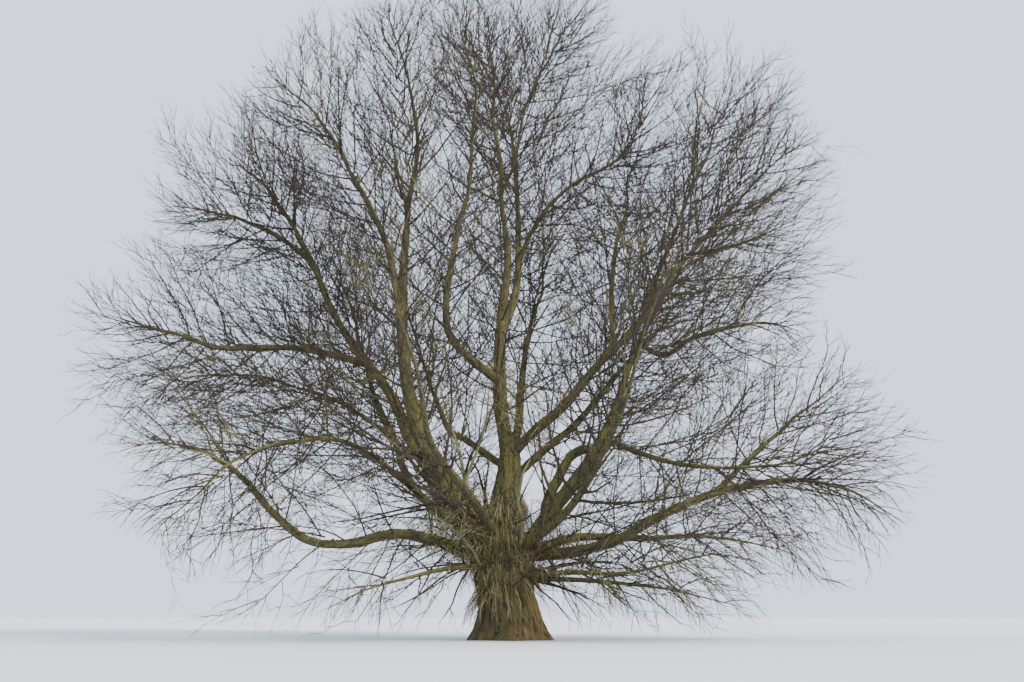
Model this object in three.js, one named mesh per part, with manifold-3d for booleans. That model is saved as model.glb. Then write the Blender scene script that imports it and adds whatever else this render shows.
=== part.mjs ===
// A great old tree in winter, with no leaves: a burred trunk with a root flare, the boughs that leave it,
// and masses of twigs, one at the tip of each bough and seven that grow straight out of the trunk.
// The solids are in millimetres, +Z up, with the origin in the middle of the flat cut at ground level.
// Seen from the front, +X is to the right and +Y is away.
import * as THREE from "three";
import { mergeVertices } from "three/addons/utils/BufferGeometryUtils.js";
import Module from "manifold-3d";

const wasm = await Module();
wasm.setup();

// The tables below are in metres and degrees
const METRE = 1000;
// The clearance between two pieces that touch, and how much more of it a sloping side takes
const GAP = 0.0003;
const SLOPED = 1.3;

// The trunk: its height, its radius at shares of that height, its sway to the left, and the buttresses
// of its foot, which die out within a share of the height
const TRUNK_HIGH = 7.2;
const TRUNK_RADII = [
  [0, 1.56],
  [0.05, 1.36],
  [0.12, 1.2],
  [0.24, 1.08],
  [0.33, 1.1],
  [0.42, 1.18],
  [0.52, 0.96],
  [0.68, 0.63],
  [0.86, 0.48],
  [0.95, 0.43],
  [1, 0.3],
];
const TRUNK_SWAY = 0.3;
const TRUNK_SIDES = 20;
const TRUNK_STEPS = 15;
const BUTTRESSES = 5;
const BUTTRESS_SWELL = 0.12;
const BUTTRESS_TURN = 20;
const BUTTRESS_FADE = 0.1;
// The trunk starts this far down, so that its foot can be cut flat
const TRUNK_BELOW = 0.05;

// Limbs are built of stretches about this long, with this many sides
const LIMB_STRETCH = 1.5;
const LIMB_SIDES = 8;
// The swollen collar where a limb leaves what carries it: how much thicker, and how soon it fades
const COLLAR_SWELL = 0.4;
const COLLAR_FADE = 2.2;

// Each limb leaves the middle of the one that carries it, at a share of that one's length. Its heading
// (0 to the right, 90 away, 180 to the left, -90 to the front) and its rise above level are given at even
// steps along it, and its radius at its base and its tip. With a taper above 1 it loses more of that early.
// The stem of the twigs at its tip carries on from it, and bends to a heading and a rise of its own.
// "wide" is how far the twigs may stand off that stem, and "lift" how much they turn up, or down below zero.
const LIMBS = [
  {
    name: "left_leader", from: "trunk", at: 0.414, long: 14.3, base: 0.42, tip: 0.12,
    heading: [180, 210, 216, 216, 222, 180, 180, 180], rise: [37, 55, 52, 66, 80, 88, 92, 94],
    twigs: { heading: -115, rise: 54, long: 9.2, wide: 3.6, lift: 0.3 },
  },
  {
    name: "left_top", from: "left_leader", at: 0.7, long: 6.4, base: 0.145, tip: 0.09,
    heading: [212, 215, 221, 212], rise: [79, 77, 56, 53],
    twigs: { heading: 216, rise: 26, long: 5, wide: 3.2, lift: 0.35 },
  },
  {
    name: "left_outer", from: "trunk", at: 0.476, long: 16.2, base: 0.33, tip: 0.11, taper: 1.4,
    heading: [180, 170, 155, 157, 170, 166, 164, 166], rise: [41, 46, 53, 66, 49, 57, 67, 58],
    twigs: { heading: 156, rise: 32, long: 6.8, wide: 3.8, lift: 0.4 },
  },
  {
    name: "left_high", from: "left_outer", at: 0.92, long: 4.2, base: 0.11, tip: 0.08,
    heading: [162, 161, 170], rise: [44, 34, 22],
    twigs: { heading: 180, rise: -2, long: 4.2, wide: 3.2, lift: 0.4 },
  },
  {
    name: "left_reach", from: "left_outer", at: 0.59, long: 7.7, base: 0.155, tip: 0.08,
    heading: [213, 207, 199, 204, 189, 180], rise: [7, 8, 3, -13, 7, 29],
    twigs: { heading: 176, rise: 12, long: 3.2, wide: 2.8, lift: 0.4 },
  },
  {
    name: "left_back", from: "trunk", at: 0.503, long: 14, base: 0.2, tip: 0.09,
    heading: [158, 152, 132, 118, 127, 117, 123], rise: [23, 25, 41, 52, 45, 53, 58],
    twigs: { heading: 140, rise: 58, long: 8, wide: 4.2, lift: 0.3 },
  },
  {
    name: "left_mid", from: "left_back", at: 0.54, long: 5.5, base: 0.095, tip: 0.07,
    heading: [153, 162, 178, 180], rise: [43, 35, 26, 11],
    twigs: { heading: 200, rise: -26, long: 7.4, wide: 3.2, lift: 0.3 },
  },
  {
    name: "left_arch", from: "left_back", at: 0.3, long: 8.1, base: 0.12, tip: 0.07,
    heading: [216, 226, 247, 249, 242, 234], rise: [36, 29, 11, 4, -7, -18],
    twigs: { heading: 186, rise: -56, long: 7.2, wide: 3.2, lift: -0.1 },
  },
  {
    name: "left_low", from: "trunk", at: 0.366, long: 10.9, base: 0.24, tip: 0.11,
    heading: [180, 197, 214, 210, 210, 204, 180, 180, 180], rise: [22, 21, 17, 3, -14, -4, 32, 43, 52],
    twigs: { heading: 180, rise: -14, long: 5.4, wide: 3.6, lift: 0.1 },
  },
  {
    name: "inner_left", from: "trunk", at: 0.89, long: 7.3, base: 0.16, tip: 0.09,
    heading: [147, 125, 128, 114, 125], rise: [31, 28, 25, 51, 51],
    twigs: { heading: 112, rise: 74, long: 8.8, wide: 3.6, lift: 0.3 },
  },
  {
    name: "centre_leader", from: "trunk", at: 0.973, long: 9.7, base: 0.31, tip: 0.11,
    heading: [180, 180], rise: [68, 87, 90, 90, 102, 88, 80],
    twigs: { heading: -107, rise: 74, long: 9.4, wide: 3.4, lift: 0.3 },
  },
  {
    name: "centre_left", from: "centre_leader", at: 0.3, long: 7.8, base: 0.18, tip: 0.09,
    heading: [221, 223, 235, 294, 360, 360], rise: [23, 26, 37, 84, 75, 84],
    twigs: { heading: -110, rise: 42, long: 9.6, wide: 3.4, lift: 0.3 },
  },
  {
    name: "centre_twin", from: "centre_leader", at: 0.5, long: 9.5, base: 0.17, tip: 0.08,
    heading: [58, 60, 75, 96, 86, 125, 180], rise: [52, 59, 73, 75, 76, 87, 79],
    twigs: { heading: 142, rise: 50, long: 8.2, wide: 3.2, lift: 0.35 },
  },
  {
    name: "centre_right", from: "centre_twin", at: 0.42, long: 5.9, base: 0.095, tip: 0.07,
    heading: [20, 20, 0, 0, 0], rise: [68, 68, 49, 41, 18],
    twigs: { heading: -140, rise: 62, long: 6.2, wide: 3.4, lift: 0.35 },
  },
  {
    name: "centre_top", from: "centre_twin", at: 0.9, long: 4.7, base: 0.06, tip: 0.05,
    heading: [-16, -13, 0, 0], rise: [85, 84, 73, 65],
    twigs: { heading: 40, rise: 54, long: 4.2, wide: 3, lift: 0.4 },
  },
  {
    name: "centre_back", from: "trunk", at: 0.945, long: 10.6, base: 0.2, tip: 0.09,
    heading: [62, 89, 85, 83, 73], rise: [60, 41, 41, 47, 54],
    twigs: { heading: 98, rise: 72, long: 8.8, wide: 4.2, lift: 0.3 },
  },
  {
    name: "right_inner", from: "trunk", at: 0.966, long: 9.8, base: 0.21, tip: 0.1,
    heading: [-10, -28, -30, -26, -12, -15, -2, 0], rise: [44, 38, 31, 58, 33, 50, 60, 51],
    twigs: { heading: -36, rise: 22, long: 7.8, wide: 3.6, lift: 0.35 },
  },
  {
    name: "right_stem", from: "right_inner", at: 0.58, long: 6.8, base: 0.12, tip: 0.085,
    heading: [76, 86, 82, 75, 73], rise: [42, 56, 58, 62, 54],
    twigs: { heading: 46, rise: 60, long: 7.8, wide: 3.6, lift: 0.3 },
  },
  {
    name: "right_upper", from: "right_inner", at: 0.67, long: 7.6, base: 0.11, tip: 0.08,
    heading: [55, 62, 65, 45, 0, 0], rise: [28, 44, 53, 59, 71, 67],
    twigs: { heading: 46, rise: 52, long: 7.8, wide: 3.6, lift: 0.3 },
  },
  {
    name: "right_bough", from: "trunk", at: 0.352, long: 13.7, base: 0.36, tip: 0.1, taper: 1.6,
    heading: [0, -21, -27, -13, 0, 48, 59, 47, 51, 57], rise: [41, 55, 47, 50, 64, 59, 61, 56, 50, 48],
    twigs: { heading: -10, rise: 4, long: 9.6, wide: 4, lift: 0.25 },
  },
  {
    name: "right_reach", from: "right_bough", at: 0.82, long: 4.5, base: 0.11, tip: 0.08,
    heading: [-35, -49, -47, -21, -19], rise: [-50, -18, 17, 12, 11],
    twigs: { heading: 6, rise: -26, long: 3, wide: 3, lift: -0.35 },
  },
  {
    name: "right_level", from: "right_bough", at: 0.46, long: 5.1, base: 0.11, tip: 0.07,
    heading: [-43, -35, -29, -24], rise: [-25, -19, -19, 2],
    twigs: { heading: 16, rise: 46, long: 5.8, wide: 3, lift: 0.3 },
  },
  {
    name: "right_low", from: "trunk", at: 0.407, long: 10.3, base: 0.24, tip: 0.11,
    heading: [0, -14, -20, -25, -28, -21, 0, 0], rise: [11, 5, 5, 21, 30, 17, 22, -2],
    twigs: { heading: -8, rise: -44, long: 6, wide: 3.4, lift: -0.1 },
  },
  {
    name: "right_fan", from: "right_low", at: 0.84, long: 2.8, base: 0.105, tip: 0.08,
    heading: [4, 4], rise: [46, 40],
    twigs: { heading: -18, rise: 34, long: 4.4, wide: 3.2, lift: 0.4 },
  },
  {
    name: "right_moss", from: "trunk", at: 0.434, long: 8.5, base: 0.21, tip: 0.1,
    heading: [0, 34, 31, 32, 38], rise: [10, 16, 1, 1, 7],
    twigs: { heading: -10, rise: -18, long: 6.4, wide: 3.2, lift: 0.2 },
  },
  {
    name: "back_right", from: "trunk", at: 0.8, long: 10.2, base: 0.18, tip: 0.09,
    heading: [48, 40, 46, 44], rise: [40, 34, 44, 40],
    twigs: { heading: 46, rise: 44, long: 8, wide: 4.2, lift: 0.3 },
  },
];

// Twigs that grow straight out of the trunk. Their stems bend from the first heading and rise to the
// second.
const TRUNK_TWIGS = [
  {
    name: "front_left", at: 0.5, base: 0.2, heading: [-116, -100], rise: [18, 68],
    twigs: { long: 15, wide: 4.6, lift: 0.35 },
  },
  {
    name: "front_right", at: 0.42, base: 0.2, heading: [-54, -66], rise: [22, 62],
    twigs: { long: 15, wide: 4.6, lift: 0.35 },
  },
  {
    name: "back_left", at: 0.42, base: 0.2, heading: [110, 118], rise: [18, 32],
    twigs: { long: 14, wide: 4.6, lift: 0.3 },
  },
  {
    name: "left_sweep", at: 0.38, base: 0.13, heading: [-128, -136], rise: [2, -24],
    twigs: { long: 9, wide: 2.8, lift: -0.1 },
  },
  {
    name: "right_sweep", at: 0.34, base: 0.14, heading: [-50, -30], rise: [0, 6],
    twigs: { long: 10.4, wide: 2.8, lift: 0.1 },
  },
  {
    name: "right_droop", at: 0.31, base: 0.13, heading: [24, 0], rise: [4, -16],
    twigs: { long: 10.2, wide: 2.4, lift: 0 },
  },
  {
    name: "shoots_front", at: 0.12, base: 0.06, heading: [-92, -94], rise: [40, 94],
    twigs: { long: 6.6, wide: 2, lift: 0.8 },
  },
];

// The rule that every mass grows by, from its stem outwards: how many side branches each twig bears, and
// how many more for a metre, over what share of its length, how long they are (beside the reach of the
// mass, and then beside the twig that bears them), how much shorter they get towards its tip, and how far
// they stand off it
const RULE = [
  { least: 3, perMetre: 0.4, first: 0.08, last: 0.96, reach: 1.1, shrink: 0.35, stand: 46 },
  { least: 2, perMetre: 0.2, first: 0.2, last: 0.9, reach: 0.5, shrink: 0.4, stand: 42 },
];
const TURN_BETWEEN = 137.5;
// How far a side branch is scattered by lot: its place and its length as shares, its turn round the twig
// and its stand off it in degrees, and its lift. Each seed also turns the first one on by some degrees.
const SCATTER = { place: 0.8, turn: 36, stand: 24, lift: 0.3, long: 0.4 };
const TURN_BY_SEED = 77;
const STEM_SIDES = 5;
const TWIG_SIDES = 3;
// A stem has a joint every so many metres, the twigs on it one in the middle, and theirs none
const STEM_STRETCH = 2.5;
const TWIG_STEPS = [2, 1];
// The radius of a twig beside the radius of what bears it there, and the least radius
const TWIG_TO_PARENT = 0.5;
const TWIG_LEAST = 0.008;
// A twig that would come this near to a limb, to the space of the next mass or to the ground is tried at
// these shares of its length, and then skipped
const SHORTER = [1, 0.7, 0.45];
const KEEP_CLEAR = 0.08;
const KEEP_OFF_GROUND = 0.12;
// At how many points along it a twig is tested for that, and in how many stretches a stem is
const TWIG_TESTS = 6;
const STEM_TESTS = 4;

const radians = THREE.MathUtils.degToRad;
const UP = new THREE.Vector3(0, 0, 1);

// The value at share t of an evenly spaced list
function spread(list, t) {
  const place = Math.min(t, 0.9999) * (list.length - 1);
  const i = Math.floor(place);
  return THREE.MathUtils.lerp(list[i], list[i + 1], place - i);
}

// The value at share t of a list of [share, value]
function profile(list, t) {
  const i = Math.max(1, list.findIndex(([share]) => share >= t));
  const [from, low] = list[i - 1];
  const [to, high] = list[i];
  return THREE.MathUtils.mapLinear(t, from, to, low, high);
}

// A number from 0 to 1 that looks drawn by lot, and is the same each time for the same seed
function chance(seed, draw) {
  const wave = Math.sin(seed * 12.9898 + draw * 78.233) * 43758.5453;
  return wave - Math.floor(wave);
}

// The seed of side branch number k of the twig that has this seed
function nextSeed(seed, k) {
  return (31 * seed + 7 * k + 3) % 10007;
}

function direction(heading, rise) {
  const [h, r] = [radians(heading), radians(rise)];
  return new THREE.Vector3(Math.cos(h) * Math.cos(r), Math.sin(h) * Math.cos(r), Math.sin(r));
}

// A closed body along a curve: a cylinder, bent, with the radius that the function gives at a share of
// its length and an angle round it, and a point where that is zero at the far end
function bent(curve, radius, sides, steps) {
  const shape = new THREE.CylinderGeometry(radius(1, 0) > 0 ? 1 : 0, 1, 1, sides, steps);
  const { normals, binormals } = curve.computeFrenetFrames(steps);
  const place = shape.getAttribute("position");
  for (let i = 0; i < place.count; i++) {
    const ring = Math.round((place.getY(i) + 0.5) * steps);
    const turn = Math.atan2(place.getZ(i), place.getX(i));
    const onAxis = Math.hypot(place.getX(i), place.getZ(i)) < 1e-6;
    const out = onAxis ? 0 : radius(ring / steps, turn);
    const spot = curve
      .getPoint(ring / steps)
      .addScaledVector(normals[ring], out * Math.cos(turn))
      .addScaledVector(binormals[ring], -out * Math.sin(turn))
      .multiplyScalar(METRE);
    place.setXYZ(i, spot.x, spot.y, spot.z);
  }
  shape.deleteAttribute("normal");
  shape.deleteAttribute("uv");
  const { attributes, index } = mergeVertices(shape, 1e-3);
  const triVerts = new Uint32Array(index.array);
  const vertProperties = new Float32Array(attributes.position.array);
  return new wasm.Manifold(new wasm.Mesh({ numProp: 3, vertProperties, triVerts }));
}

function largest(solid) {
  return solid.decompose().reduce((best, body) => (body.volume() > best.volume() ? body : best));
}

function meshOf(solid, name, material) {
  const { vertProperties, triVerts } = solid.getMesh();
  const shape = new THREE.BufferGeometry()
    .setAttribute("position", new THREE.BufferAttribute(vertProperties, 3))
    .setIndex(new THREE.BufferAttribute(triVerts, 1));
  shape.computeVertexNormals();
  const mesh = new THREE.Mesh(shape, material);
  mesh.name = name;
  return mesh;
}

// The trunk stands up from just below the cut, swaying to the left and back
function makeTrunk() {
  const points = [];
  for (let i = 0; i <= TRUNK_STEPS; i++) {
    const t = i / TRUNK_STEPS;
    const sway = -TRUNK_SWAY * Math.sin(Math.PI * t) ** 2;
    points.push(new THREE.Vector3(sway, 0, THREE.MathUtils.lerp(-TRUNK_BELOW, TRUNK_HIGH, t)));
  }
  const radius = (t, turn, grown = 0) => {
    const lobe = Math.cos(BUTTRESSES * turn + radians(BUTTRESS_TURN)) * BUTTRESS_SWELL;
    return profile(TRUNK_RADII, t) * (1 + lobe * Math.exp(-t / BUTTRESS_FADE)) + grown;
  };
  const curve = new THREE.CatmullRomCurve3(points);
  return { name: "trunk", curve, radius, points, sides: TRUNK_SIDES, steps: TRUNK_STEPS };
}

// A limb is walked out step by step from the middle of the limb that carries it
function makeLimb(plan, parent) {
  const steps = Math.max(3, Math.round(plan.long / LIMB_STRETCH));
  const points = [parent.curve.getPoint(plan.at)];
  for (let i = 0; i < steps; i++) {
    const t = (i + 0.5) / steps;
    const way = direction(spread(plan.heading, t), spread(plan.rise, t));
    points.push(points[i].clone().addScaledVector(way, plan.long / steps));
  }
  const radius = (t, turn, grown = 0) => {
    const collar = COLLAR_SWELL * Math.exp((-t * plan.long) / (COLLAR_FADE * plan.base));
    const lost = 1 - (1 - t) ** (plan.taper ?? 1);
    return THREE.MathUtils.lerp(plan.base, plan.tip, lost) + plan.base * collar + grown;
  };
  const curve = new THREE.CatmullRomCurve3(points);
  return { name: plan.name, plan, curve, radius, points, sides: LIMB_SIDES, steps };
}

// A limb's body, grown on request all round and at both ends, to cut the clearance with
function bodyOf(limb, grown = 0) {
  const more = grown / Math.cos(Math.PI / limb.sides);
  const points = limb.points.map((point) => point.clone());
  points[0].addScaledVector(limb.curve.getTangentAt(0), -grown);
  points.at(-1).addScaledVector(limb.curve.getTangentAt(1), grown);
  const curve = new THREE.CatmullRomCurve3(points);
  const body = bent(curve, (t, turn) => limb.radius(t, turn, more), limb.sides, limb.steps);
  return limb.name === "trunk" && !grown ? body.trimByPlane([0, 0, 1], 0) : body;
}

// A twig leaves its root in one direction, bends evenly, and ends in another. "reach" is what the lengths
// of its side branches are worked out from.
function makeTwig({ root, start, end, long, reach = long, base, seed }) {
  const middle = root.clone().addScaledVector(start, long / 2);
  const tip = middle.clone().addScaledVector(end, long / 2);
  const curve = new THREE.QuadraticBezierCurve3(root, middle, tip);
  return { curve, start, end, long, reach, base, seed };
}

// The side branches of a twig, turned on round it from one to the next
function sideBranches(parent, rule, lift) {
  const count = rule.least + Math.round(rule.perMetre * parent.long);
  return Array.from({ length: count }, (_, k) => {
    const draw = (n) => chance(parent.seed, 10 * k + n);
    const t = rule.first + ((rule.last - rule.first) * (k + SCATTER.place * draw(1))) / count;
    const way = parent.start.clone().lerp(parent.end, t).normalize();
    const turn = radians(TURN_BETWEEN * k + SCATTER.turn * draw(0) + TURN_BY_SEED * parent.seed);
    const across = new THREE.Vector3().crossVectors(way, UP).normalize();
    const over = new THREE.Vector3().crossVectors(across, way);
    const stand = radians(rule.stand + SCATTER.stand * (draw(2) - 0.5));
    const start = way
      .multiplyScalar(Math.cos(stand))
      .addScaledVector(across, Math.sin(stand) * Math.cos(turn))
      .addScaledVector(over, Math.sin(stand) * Math.sin(turn));
    return {
      root: parent.curve.getPoint(t),
      start,
      end: start.clone().addScaledVector(UP, lift + SCATTER.lift * (draw(3) - 0.5)).normalize(),
      long: parent.reach * rule.reach * (1 - rule.shrink * t) * (1 + SCATTER.long * (draw(4) - 0.5)),
      base: Math.max(TWIG_LEAST, parent.base * (1 - t) * TWIG_TO_PARENT),
      seed: nextSeed(parent.seed, k),
    };
  });
}

// How far a point is from the nearest stretch of a line, less how thick that stretch is
function clearance(point, line, thickness = () => 0) {
  const stretch = new THREE.Line3();
  const foot = new THREE.Vector3();
  const gaps = line.slice(1).map((end, i) => {
    stretch.set(line[i], end).closestPointToPoint(point, true, foot);
    return foot.distanceTo(point) - thickness(i / (line.length - 1));
  });
  return Math.min(...gaps);
}

// Whether a twig keeps to the space of its mass, off the ground and clear of every limb
function keepsToItsSpace(twig, mass, masses, limbs) {
  return twig.curve.getPoints(TWIG_TESTS).slice(1).every((spot) => {
    const own = clearance(spot, mass.line);
    return (
      own < mass.wide &&
      spot.z > KEEP_OFF_GROUND &&
      masses.every((other) => other === mass || clearance(spot, other.line) > own + KEEP_CLEAR) &&
      limbs.every((limb) => clearance(spot, limb.points, (t) => limb.radius(t, 0)) > KEEP_CLEAR)
    );
  });
}

// A mass is its stem with every twig that the rule gives it, fused
function growMass(mass, masses, limbs) {
  const levels = [[mass.stem]];
  for (const rule of RULE) {
    const plans = levels.at(-1).flatMap((parent) => sideBranches(parent, rule, mass.lift));
    const twigs = plans.map((plan) =>
      SHORTER.map((share) => makeTwig({ ...plan, long: plan.long * share })).find((twig) =>
        keepsToItsSpace(twig, mass, masses, limbs),
      ),
    );
    levels.push(twigs.filter(Boolean));
  }
  const [stem, ...rest] = levels;
  const stemSteps = Math.round(mass.stem.long / STEM_STRETCH);
  const stems = stem.map(({ curve, base }) => {
    return bent(curve, (t) => THREE.MathUtils.lerp(base, TWIG_LEAST, t), STEM_SIDES, stemSteps);
  });
  const twigs = rest.flatMap((level, i) =>
    level.map(({ curve, base }) => bent(curve, (t) => base * (1 - t), TWIG_SIDES, TWIG_STEPS[i])),
  );
  return wasm.Manifold.union([...stems, ...twigs]);
}

const trunk = makeTrunk();
const limbs = [trunk];
for (const plan of LIMBS) {
  const parent = limbs.find((limb) => limb.name === plan.from);
  limbs.push(makeLimb(plan, parent));
}

// The stems: one carries on from the tip of each limb, and the rest start in the middle of the trunk
const masses = [];
for (const limb of limbs.slice(1)) {
  const { heading, rise, long, wide, lift } = limb.plan.twigs;
  const start = limb.curve.getTangentAt(1);
  const root = limb.points.at(-1).clone().addScaledVector(start, GAP);
  const end = direction(heading, rise);
  const seed = masses.length + 1;
  const stem = makeTwig({ root, start, end, long, reach: wide, base: limb.plan.tip, seed });
  masses.push({ name: `${limb.name}_twigs`, stem, wide, lift });
}
for (const { name, at, base, heading, rise, twigs } of TRUNK_TWIGS) {
  const { long, wide, lift } = twigs;
  const [start, end] = heading.map((h, side) => direction(h, rise[side]));
  const seed = masses.length + 1;
  const stem = makeTwig({ root: trunk.curve.getPoint(at), start, end, long, reach: wide, base, seed });
  masses.push({ name: `${name}_twigs`, stem, wide, lift, onTrunk: true });
}
for (const mass of masses) mass.line = mass.stem.curve.getPoints(STEM_TESTS);

const tree = new THREE.Group();
const bark = new THREE.MeshStandardMaterial({ color: 0x6b5f45, roughness: 0.95, metalness: 0 });
const twigBark = new THREE.MeshStandardMaterial({ color: 0x5a4d44, roughness: 0.9, metalness: 0 });

// What came before is cut out of each limb and each mass, a little grown, which leaves the clearance
const grown = limbs.map((limb) => bodyOf(limb, GAP * SLOPED));
limbs.forEach((limb, i) => {
  const left = grown.slice(0, i).reduce((body, cutter) => body.subtract(cutter), bodyOf(limb));
  tree.add(meshOf(largest(left), limb.name, bark.clone()));
});
for (const mass of masses) {
  const whole = growMass(mass, masses, limbs);
  const left = mass.onTrunk ? whole.subtract(wasm.Manifold.union(grown)) : whole;
  tree.add(meshOf(largest(left), mass.name, twigBark.clone()));
}

export default tree;
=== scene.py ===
# A great old tree in winter, rooted in the ground and without a leaf: its bark, its boughs and its twigs.
# Metres, +Z up, with the origin in the middle of the cut at ground level. Seen from the front, +X is to the
# right and +Y is away.
import math

import bpy
import numpy as np
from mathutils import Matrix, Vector, noise


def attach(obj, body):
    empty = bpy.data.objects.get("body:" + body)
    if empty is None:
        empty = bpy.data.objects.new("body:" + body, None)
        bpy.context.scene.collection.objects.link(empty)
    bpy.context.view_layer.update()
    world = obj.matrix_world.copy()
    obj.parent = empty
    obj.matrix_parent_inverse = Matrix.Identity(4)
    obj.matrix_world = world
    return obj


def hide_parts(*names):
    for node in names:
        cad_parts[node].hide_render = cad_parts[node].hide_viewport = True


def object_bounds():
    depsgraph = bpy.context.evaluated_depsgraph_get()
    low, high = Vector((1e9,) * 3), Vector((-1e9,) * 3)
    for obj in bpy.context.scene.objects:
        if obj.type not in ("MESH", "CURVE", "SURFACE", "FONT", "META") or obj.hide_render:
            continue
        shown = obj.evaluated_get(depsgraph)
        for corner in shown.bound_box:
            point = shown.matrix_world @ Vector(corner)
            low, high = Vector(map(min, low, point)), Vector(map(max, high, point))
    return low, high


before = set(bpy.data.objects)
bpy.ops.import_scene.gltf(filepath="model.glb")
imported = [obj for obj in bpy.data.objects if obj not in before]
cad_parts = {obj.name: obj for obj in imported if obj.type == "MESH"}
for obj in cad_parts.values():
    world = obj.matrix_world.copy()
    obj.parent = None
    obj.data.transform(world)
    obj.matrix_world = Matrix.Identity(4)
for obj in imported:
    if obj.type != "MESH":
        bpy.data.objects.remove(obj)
solid_box = [list(corner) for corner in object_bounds()]

# The bole is one short thick stem of old wood, burred where shoots have broken out of it for many years, and
# its buttresses spread into the ground. Its line and its girth are those of the solid under it.
TRUNK_HIGH = 7.2
TRUNK_BELOW = 0.05
TRUNK_SWAY = 0.3
TRUNK_STEPS = 15
TRUNK_SHARES = [0, 0.05, 0.12, 0.24, 0.33, 0.42, 0.52, 0.68, 0.86, 0.95, 1]
TRUNK_RADII = [1.56, 1.36, 1.2, 1.08, 1.1, 1.18, 0.96, 0.63, 0.48, 0.43, 0.3]
BUTTRESSES = 5
BUTTRESS_SWELL = 0.12
BUTTRESS_TURN = 70
BUTTRESS_FADE = 0.1
UP = np.array([0.0, 0.0, 1.0])


def unit(vectors):
    return vectors / np.maximum(np.linalg.norm(vectors, axis=-1, keepdims=True), 1e-9)


def direction(heading, rise):
    h, r = np.broadcast_arrays(np.radians(heading), np.radians(rise))
    return np.stack([np.cos(h) * np.cos(r), np.sin(h) * np.cos(r), np.sin(r)], -1)


class Limb:
    """The line of the trunk or of a bough, through points at even steps, and its girth."""

    def __init__(self, name, points, radius):
        self.name = name
        self.points = np.array(points)
        self.radius = radius
        self.long = np.linalg.norm(np.diff(self.points, axis=0), axis=1).sum()

    def at(self, share):
        """The points at shares of the length, on a smooth curve."""
        first, last = self.points[0], self.points[-1]
        ends = np.vstack([2 * first - self.points[1], self.points, 2 * last - self.points[-2]])
        place = np.clip(share, 0, 0.99999) * (len(self.points) - 1)
        i = place.astype(int)
        f = (place - i)[:, None]
        a, b, c, d = (ends[i + k] for k in range(4))
        bend = f**2 * (a - 2.5 * b + 2 * c - d / 2) + f**3 * (1.5 * (b - c) + (d - a) / 2)
        return b + f * (c - a) / 2 + bend


def trunk_radius(share, turn=0.0):
    lobe = np.cos(BUTTRESSES * turn + math.radians(BUTTRESS_TURN)) * BUTTRESS_SWELL
    girth = np.interp(share, TRUNK_SHARES, TRUNK_RADII)
    return girth * (1 + lobe * np.exp(-share / BUTTRESS_FADE))


trunk_shares = np.linspace(0, 1, TRUNK_STEPS + 1)
trunk_sway = -TRUNK_SWAY * np.sin(np.pi * trunk_shares) ** 2
trunk_rise = np.interp(trunk_shares, [0, 1], [-TRUNK_BELOW, TRUNK_HIGH])
trunk = Limb("trunk", np.stack([trunk_sway, 0 * trunk_sway, trunk_rise], -1), trunk_radius)

# The boughs are limbs of the same wood. Each is grown out of the middle of the one that carries it, swells
# into a collar there, and tapers to its tip, where a stem of twigs carries on.
LIMB_STRETCH = 1.5
COLLAR_SWELL = 0.4
COLLAR_FADE = 2.2
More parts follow.
